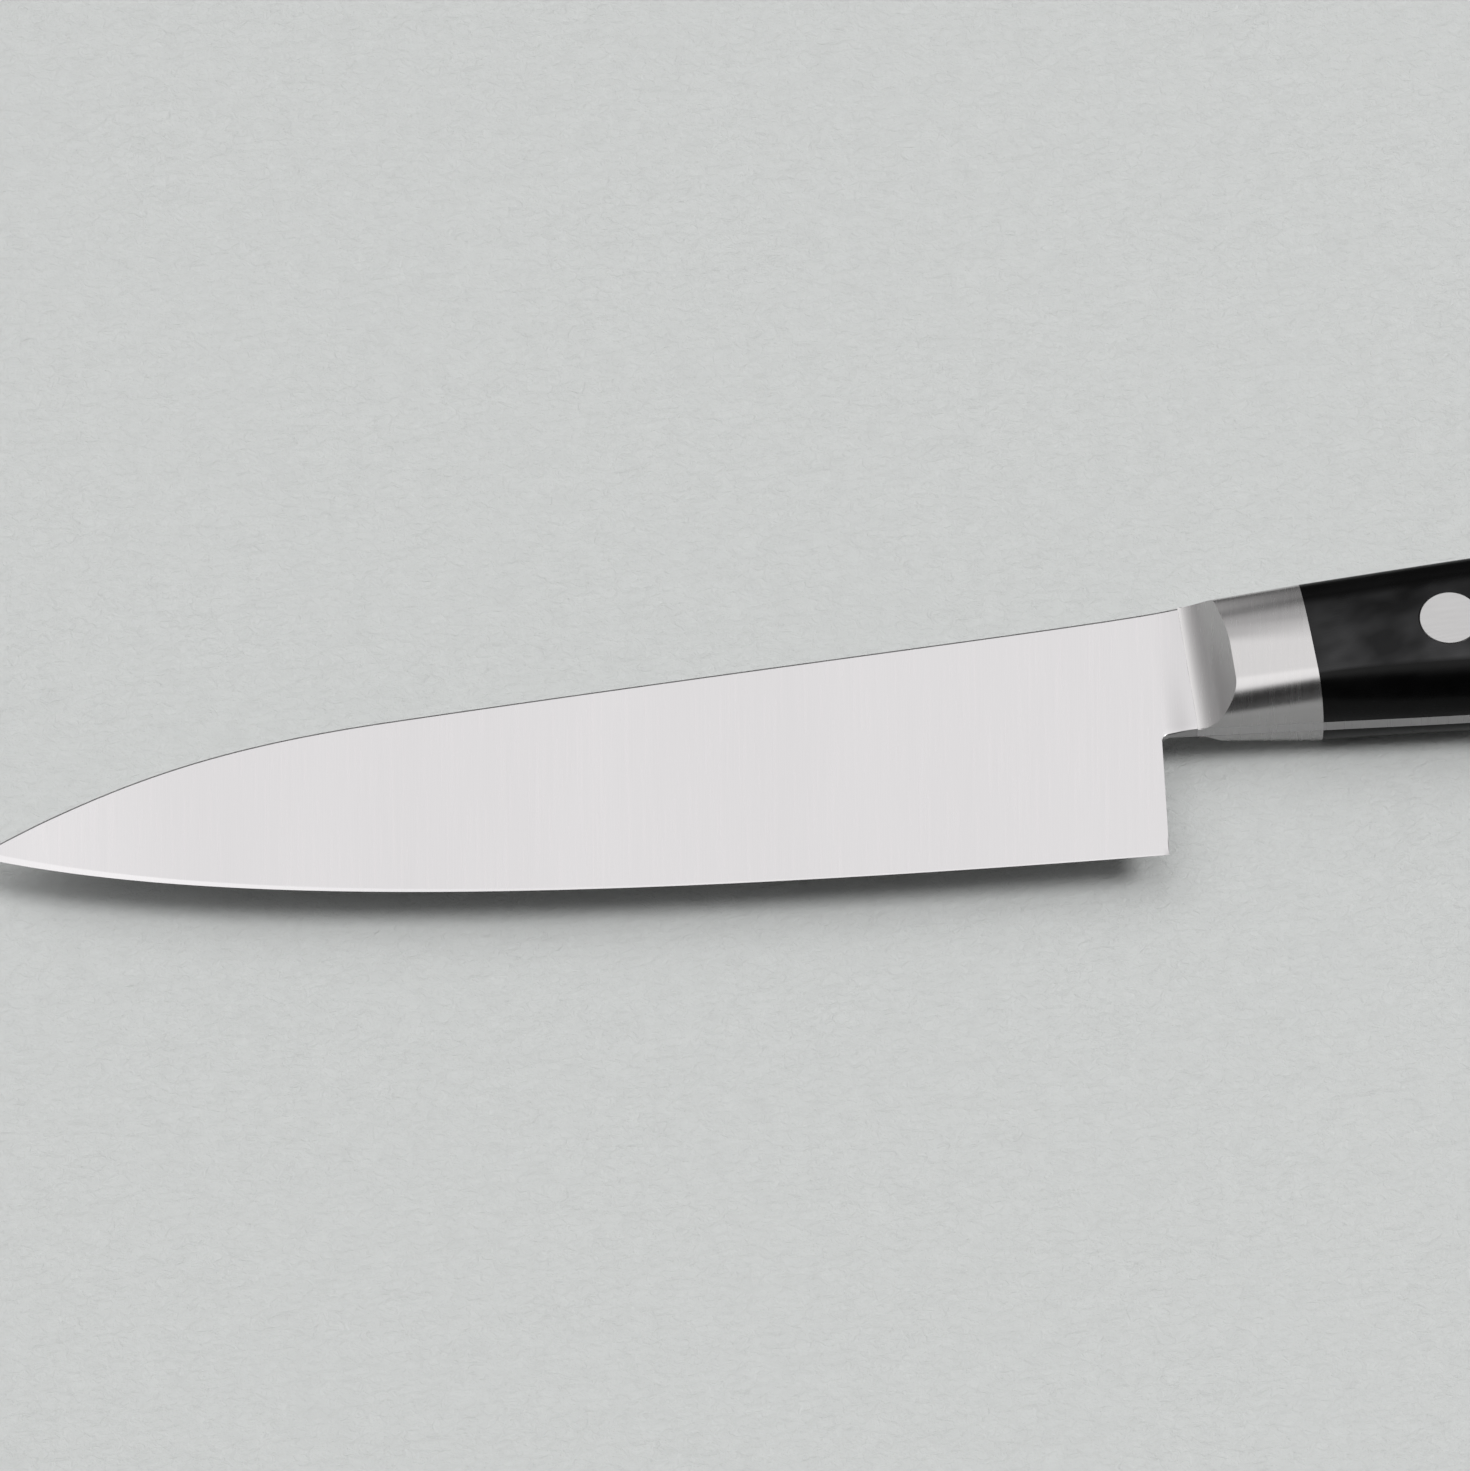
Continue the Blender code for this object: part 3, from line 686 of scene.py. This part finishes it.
def makeRivets(material):
    line = bpy.data.meshes.new("rivetLine")
    places = [place(x, y, 0) for x, y in rivetPlaces()]
    line.from_pydata(places, [(i, i + 1) for i in range(len(places) - 1)], [])
    maker = addObject("rivetLine", line)
    sources = {"Post": turnedPost(), "Socket": turnedSocket()}
    tree, identifiers = rivetRowTree()
    row = maker.modifiers.new("rivetRow", "NODES")
    row.node_group = tree
    for name, value in {"Count": rivetValues["count"], "Steel": material, **sources}.items():
        row[identifiers[name]] = value
    mesh = bpy.data.meshes.new_from_object(maker.evaluated_get(bpy.context.evaluated_depsgraph_get()))
    mesh.name = "rivets"
    for thing in (maker, *sources.values()):
        bpy.data.objects.remove(thing, do_unlink=True)
    return addObject("rivets", mesh)


def drillScale(scale, side):
    # seats for the heads and ways through for the shanks
    r = rivetValues
    head, shank = r["head"] / 2 + r["gap"], r["socket"] / 2 + r["gap"]
    floor = flatZ - r["headHeight"] - r["gap"]
    above, below = flatZ + 2, -1     # the drill runs clear of both faces
    for x, y in rivetPlaces():
        drill = turned("drill", [(0, above), (head, above), (head, floor), (shank, floor),
                                 (shank, below), (0, below)])
        drill.data.transform(Matrix.Rotation(0 if side > 0 else pi, 4, "X"))
        drill.data.transform(Matrix.Translation(place(x, y, 0)))
        cut = scale.modifiers.new("drill", "BOOLEAN")
        cut.operation, cut.solver, cut.object = "DIFFERENCE", "EXACT", drill
        mesh = bpy.data.meshes.new_from_object(scale.evaluated_get(bpy.context.evaluated_depsgraph_get()))
        scale.modifiers.clear()
        scale.data = mesh
        bpy.data.objects.remove(drill, do_unlink=True)
    shape = bmesh.new()
    shape.from_mesh(scale.data)
    bmesh.ops.remove_doubles(shape, verts=shape.verts, dist=touching)
    for edge in shape.edges:
        edge.smooth = edge.calc_face_angle(0.0) < crispAngle
    shape.to_mesh(scale.data)
    shape.free()


# outlines that several pieces share, drawn once

spineAt, edgeAt = spineLine(), edgeLine()
gripSpineAt, gripBellyAt = gripLevels()
hollowBack, hollowUp = hollowCurve()
print("outlines drawn")


# studio

studio = {
    "floorTones": ("#C9CBCA", "#D2D4D3"), "floorSize": 12.0,
    "ceiling": 1.8, "walls": 0.13, "darkSide": 0.02, "panels": 0.5,
    "lampStrength": 728.0, "lampSize": 4.6, "lampFrom": (0.62, -0.19, 1.0), "lampDistance": 12.0,
}

camera = {
    "distance": 4.0, "azimuth": -9.245, "elevation": 57.937, "roll": -0.425,
    "pixelsPerMm": 9.9324, "imageHeight": 1471, "aim": (-58.574, -6.944, 0.0),
}


def makeFloor():
    # matt paper: even pale grey with a fine tooth
    material, tree, shader = newMaterial("mattPaper", Roughness=0.9, IOR=1.3)
    tooth = noise(tree, (2.5, 2.5, 2.5), Detail=3.0)
    fibres = noise(tree, (1.1, 0.8, 1), Detail=5.0, Roughness=0.6, Distortion=1.2)
    wire(tree, shader, Base_Color=blend(tree, tooth, studio["floorTones"]),
         Normal=bumped(tree, fibres, 1.0, 0.2))
    half = studio["floorSize"] / 2
    mesh = bpy.data.meshes.new("floor")
    corners = [(-half, -half, 0), (half, -half, 0), (half, half, 0), (-half, half, 0)]
    mesh.from_pydata(corners, [], [(0, 1, 2, 3)])
    mesh.materials.append(material)
    floor = addObject("floor", mesh)


def makeLight():
    # a bright ceiling and rear wall, with the side that the picture is taken from in the dark
    world = bpy.data.worlds.new("studio")
    bpy.context.scene.world = world
    world.use_nodes = True
    tree = world.node_tree
    way = axes(tree, "Generated")

    def ramp(axis, start, end, low, high, kind="SMOOTHSTEP"):
        # start and end are parts of a direction: X to the butt, Y to the spine, Z up
        return addNode(tree, "ShaderNodeMapRange", {
            "Value": way[axis], "From Min": start, "From Max": end, "To Min": low, "To Max": high},
            interpolation_type=kind).outputs[0]

    def both(first, second):
        return addNode(tree, "ShaderNodeMath", {0: first, 1: second}, operation="MULTIPLY").outputs[0]

    def either(first, second):
        return addNode(tree, "ShaderNodeMath", {0: first, 1: second}, operation="ADD").outputs[0]

    ceiling = both(both(ramp("Y", -0.56, -0.2, 0, studio["ceiling"]), ramp("Y", 0.35, 1.0, 1, 0)),
                   both(ramp("X", -1.15, 0.15, 0, 1, "LINEAR"), ramp("X", 0.15, 0.45, 1, 0)))
    walls = ramp("Y", -0.7, 0.1, studio["darkSide"], studio["walls"])
    # low panels, so that the steel is not black from the other sides
    left = both(ramp("X", -0.42, -0.17, 1, 0), ramp("Y", -0.45, -0.1, 1, 0))
    sides = either(left, ramp("X", 0.33, 0.58, 0, 1))
    panels = both(ramp("Z", 0.22, 0.45, studio["panels"], 0), sides)
    background = tree.nodes["Background"]
    wire(tree, background, Strength=either(ceiling, either(walls, panels)))
    background.inputs["Color"].default_value = (1, 1, 1, 1)
    lamp = bpy.data.lights.new("softbox", "AREA")
    lamp.shape = "DISK"
    lamp.size = studio["lampSize"]
    lamp.energy = studio["lampStrength"]
    holder = addObject("softbox", lamp)
    towards = Vector(studio["lampFrom"]).normalized()
    holder.location = place(*camera["aim"]) + towards * studio["lampDistance"]
    holder.rotation_euler = towards.to_track_quat("Z", "Y").to_euler()


def makeCamera():
    lens = bpy.data.cameras.new("camera")
    lens.sensor_width = 36.0
    focal = camera["pixelsPerMm"] / mm * camera["distance"]      # in pixels of the picture
    lens.lens = focal * lens.sensor_width / camera["imageHeight"]
    az, el, roll = (radians(camera[name]) for name in ("azimuth", "elevation", "roll"))
    back = Vector((sin(az) * cos(el), -cos(az) * cos(el), sin(el)))
    right = Vector((cos(az), sin(az), 0))
    up = back.cross(right)
    turnedRight = cos(roll) * right + sin(roll) * up
    turnedUp = cos(roll) * up - sin(roll) * right
    matrix = Matrix((turnedRight, turnedUp, back)).transposed().to_4x4()
    matrix.translation = place(*camera["aim"]) + back * camera["distance"]
    holder = addObject("camera", lens)
    holder.matrix_world = matrix
    bpy.context.scene.camera = holder


bpy.context.scene.view_settings.view_transform = "Standard"
makeCamera()
makeFloor()
makeLight()
print("studio ready")

seat(makeBlade(groundStainless()), "blade_steel", "blade")
satin = satinStainless()
seat(makeBolster("bolsterLeft", 1, satin), "bolster_steel", "bolster_left")
seat(makeBolster("bolsterRight", -1, satin), "bolster_steel", "bolster_right")
laminate = blackLaminate()
for name, side, node in (("scaleLeft", 1, "scale_left"), ("scaleRight", -1, "scale_right")):
    scale = makeScale(name, side, laminate)
    drillScale(scale, side)
    seat(scale, "scale_wood", node)
seat(makeRivets(rivetSteel()), "rivet_steel",
     *("rivet_%d_%s" % (i + 1, half) for i in range(rivetValues["count"]) for half in ("post", "socket")))
